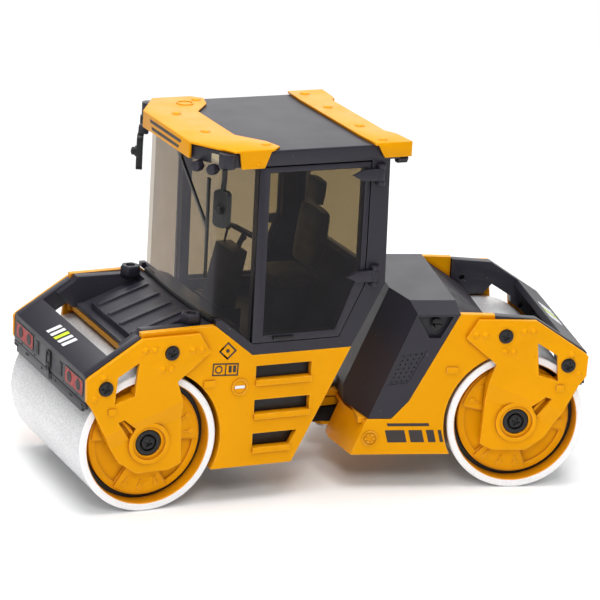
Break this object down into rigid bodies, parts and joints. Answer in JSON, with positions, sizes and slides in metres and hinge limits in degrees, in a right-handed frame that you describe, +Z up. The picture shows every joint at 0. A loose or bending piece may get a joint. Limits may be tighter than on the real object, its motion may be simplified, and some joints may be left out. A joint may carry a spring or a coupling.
{
  "type": "toy tandem road roller",
  "caption": "Articulated toy tandem road roller with a glazed cab, opening doors, steering pivot and turning smooth drums.",
  "frame": {"origin": "on the ground, on the front half's mid plane, halfway between the drum axles when steered straight", "axes": "+X forward towards the cab end, +Y to the driver's left, +Z up"},
  "size_m": [0.1331, 0.0651, 0.0841],
  "materials": {
    "black_plastic": "matt",
    "dark_plastic": "satin",
    "black_steel": "blackened, semi-gloss",
    "steel": "bright",
    "yellow_paint": "satin",
    "drum_silver": "fine sparkling grain",
    "dark_lens": "gloss",
    "red_plastic": "gloss",
    "smoked_glass": "clear, tinted",
    "seat_vinyl": "soft, fine grain"
  },
  "bodies": {
    "front_half": {"cab_floor": "black_plastic", "cab_frame": "dark_plastic", "door_hinge_brackets": "dark_plastic", "filler_caps": "black_plastic", "front_arm_screws": "black_steel", "front_axle": "steel", "front_axle_bushes": "black_plastic", "front_axle_screws": "black_steel", "front_belly_plate": "black_plastic", "front_belly_screws": "black_steel", "front_cover": "dark_plastic", "front_frame": "yellow_paint", "front_lamp_lenses": "dark_lens", "front_lamp_panels": "red_plastic", "front_left_arm": "yellow_paint", "front_right_arm": "yellow_paint", "front_slot_liners": "black_plastic", "link_tongue": "black_plastic", "mirror_arms": "black_plastic", "mirror_housings": "black_plastic", "rear_roof_lamps": "black_plastic", "rear_window": "smoked_glass", "roof_lamps": "black_plastic", "roof_panel": "dark_plastic", "roof_rear_strip": "yellow_paint", "roof_visor": "yellow_paint", "seat": "seat_vinyl", "seat_base": "black_plastic", "steering_console": "black_plastic", "steering_wheel": "black_plastic", "windscreen": "smoked_glass", "wiper": "black_plastic"},
    "rear_half": {"pivot_pin": "steel", "rear_arm_screws": "black_steel", "rear_axle": "steel", "rear_axle_bushes": "black_plastic", "rear_axle_screws": "black_steel", "rear_bar": "dark_plastic", "rear_belly_plate": "black_plastic", "rear_belly_screws": "black_steel", "rear_frame": "yellow_paint", "rear_grille": "black_plastic", "rear_hood": "dark_plastic", "rear_hood_screws": "black_steel", "rear_left_arm": "yellow_paint", "rear_right_arm": "yellow_paint"},
    "front_drum": {"front_drum_shell": "drum_silver", "front_drum_discs": "yellow_paint"},
    "rear_drum": {"rear_drum_shell": "drum_silver", "rear_drum_discs": "yellow_paint"},
    "left_door": {"left_door_frame": "dark_plastic", "left_door_glass": "smoked_glass", "left_door_straps": "dark_plastic", "left_door_handle": "black_plastic"},
    "right_door": {"right_door_frame": "dark_plastic", "right_door_glass": "smoked_glass", "right_door_straps": "dark_plastic", "right_door_handle": "black_plastic"}
  },
  "joints": [
    {"name": "steering", "type": "hinge", "parent": "front_half", "child": "rear_half", "pos_m": [-0.0074, 0, 0.012], "axis": [0, 0, 1], "range_deg": [-16.05, 43.95]},
    {"name": "front_drum_spin", "type": "hinge", "parent": "front_half", "child": "front_drum", "pos_m": [0.0481, 0, 0.0165], "axis": [0, 1, 0], "continuous": true},
    {"name": "rear_drum_spin", "type": "hinge", "parent": "rear_half", "child": "rear_drum", "pos_m": [-0.0469, 0.00981, 0.0165], "axis": [0.2411, 0.9705, 0], "continuous": true},
    {"name": "left_door_hinge", "type": "hinge", "parent": "front_half", "child": "left_door", "pos_m": [-0.0056, 0.02475, 0.06], "axis": [0, 0, 1], "range_deg": [0, 75]},
    {"name": "right_door_hinge", "type": "hinge", "parent": "front_half", "child": "right_door", "pos_m": [-0.0056, -0.02475, 0.06], "axis": [0, 0, -1], "range_deg": [0, 75]}
  ]
}
